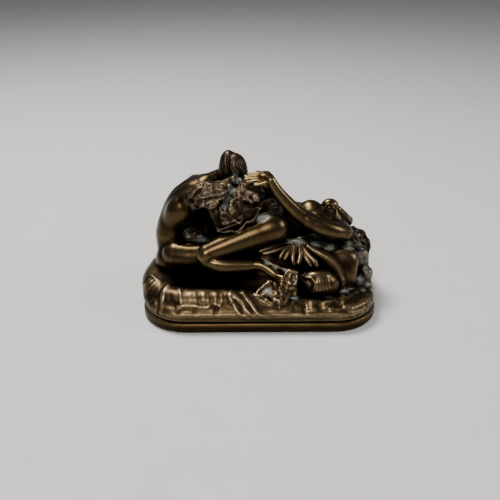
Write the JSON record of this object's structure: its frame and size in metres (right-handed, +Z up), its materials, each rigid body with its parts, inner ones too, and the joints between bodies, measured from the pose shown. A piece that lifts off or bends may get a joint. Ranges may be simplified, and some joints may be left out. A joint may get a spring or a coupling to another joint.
{
  "type": "bronze statuette",
  "caption": "Small cabinet bronze: one seated figure bowed under long hair, one kneeling figure arched back, on a draped ground over a flat rounded plinth.",
  "frame": {"origin": "middle of the plinth's underside, on the surface that the statuette stands on", "axes": "+Z up, +X along the plinth's length to the right as seen from the front, +Y to the back"},
  "size_m": [0.12, 0.08, 0.0794],
  "materials": {
    "plinth_bronze": "brown patinated bronze, rubbed on the edges",
    "ground_bronze": "brown patinated bronze, worn on the ridges",
    "figure_bronze": "brown patinated bronze, polished by handling",
    "hair_bronze": "dark brown patinated bronze with pale green in the grooves",
    "drapery_bronze": "olive brown patinated bronze with pale green in the folds",
    "rock_bronze": "dark, roughly tooled bronze",
    "stud_brass": "plain turned brass",
    "steel": "plain steel",
    "felt": "dark green felt"
  },
  "bodies": {
    "root": {"plinth": "plinth_bronze", "felt_pad": "felt", "fixing_screw_1": "steel", "fixing_screw_2": "steel", "fixing_screw_3": "steel", "fixing_screw_4": "steel", "seated_figure_stud": "stud_brass", "kneeling_figure_stud": "stud_brass", "seated_figure_nut": "stud_brass", "kneeling_figure_nut": "stud_brass", "seated_neck_pin": "stud_brass", "seated_hair_pin": "stud_brass", "seated_near_arm_pin": "stud_brass", "seated_far_arm_pin": "stud_brass", "raised_arm_pin": "stud_brass", "far_arm_pin": "stud_brass", "kneeling_neck_pin": "stud_brass", "near_leg_pin": "stud_brass", "raised_arm": "figure_bronze", "kneeling_near_leg": "figure_bronze", "seated_near_arm": "figure_bronze", "seated_hair": "hair_bronze", "seated_head": "hair_bronze", "far_arm": "figure_bronze", "kneeling_torso": "figure_bronze", "kneeling_head": "hair_bronze", "kneeling_far_leg": "figure_bronze", "seated_torso": "figure_bronze", "seated_far_arm": "figure_bronze", "seated_near_leg": "figure_bronze", "seated_far_leg": "figure_bronze", "pleat_fan": "drapery_bronze", "drapery_fold": "drapery_bronze", "bolster": "drapery_bronze", "cloth_corner": "drapery_bronze", "rock_bank": "rock_bronze", "back_drapery": "drapery_bronze", "ground": "ground_bronze"}
  },
  "joints": []
}
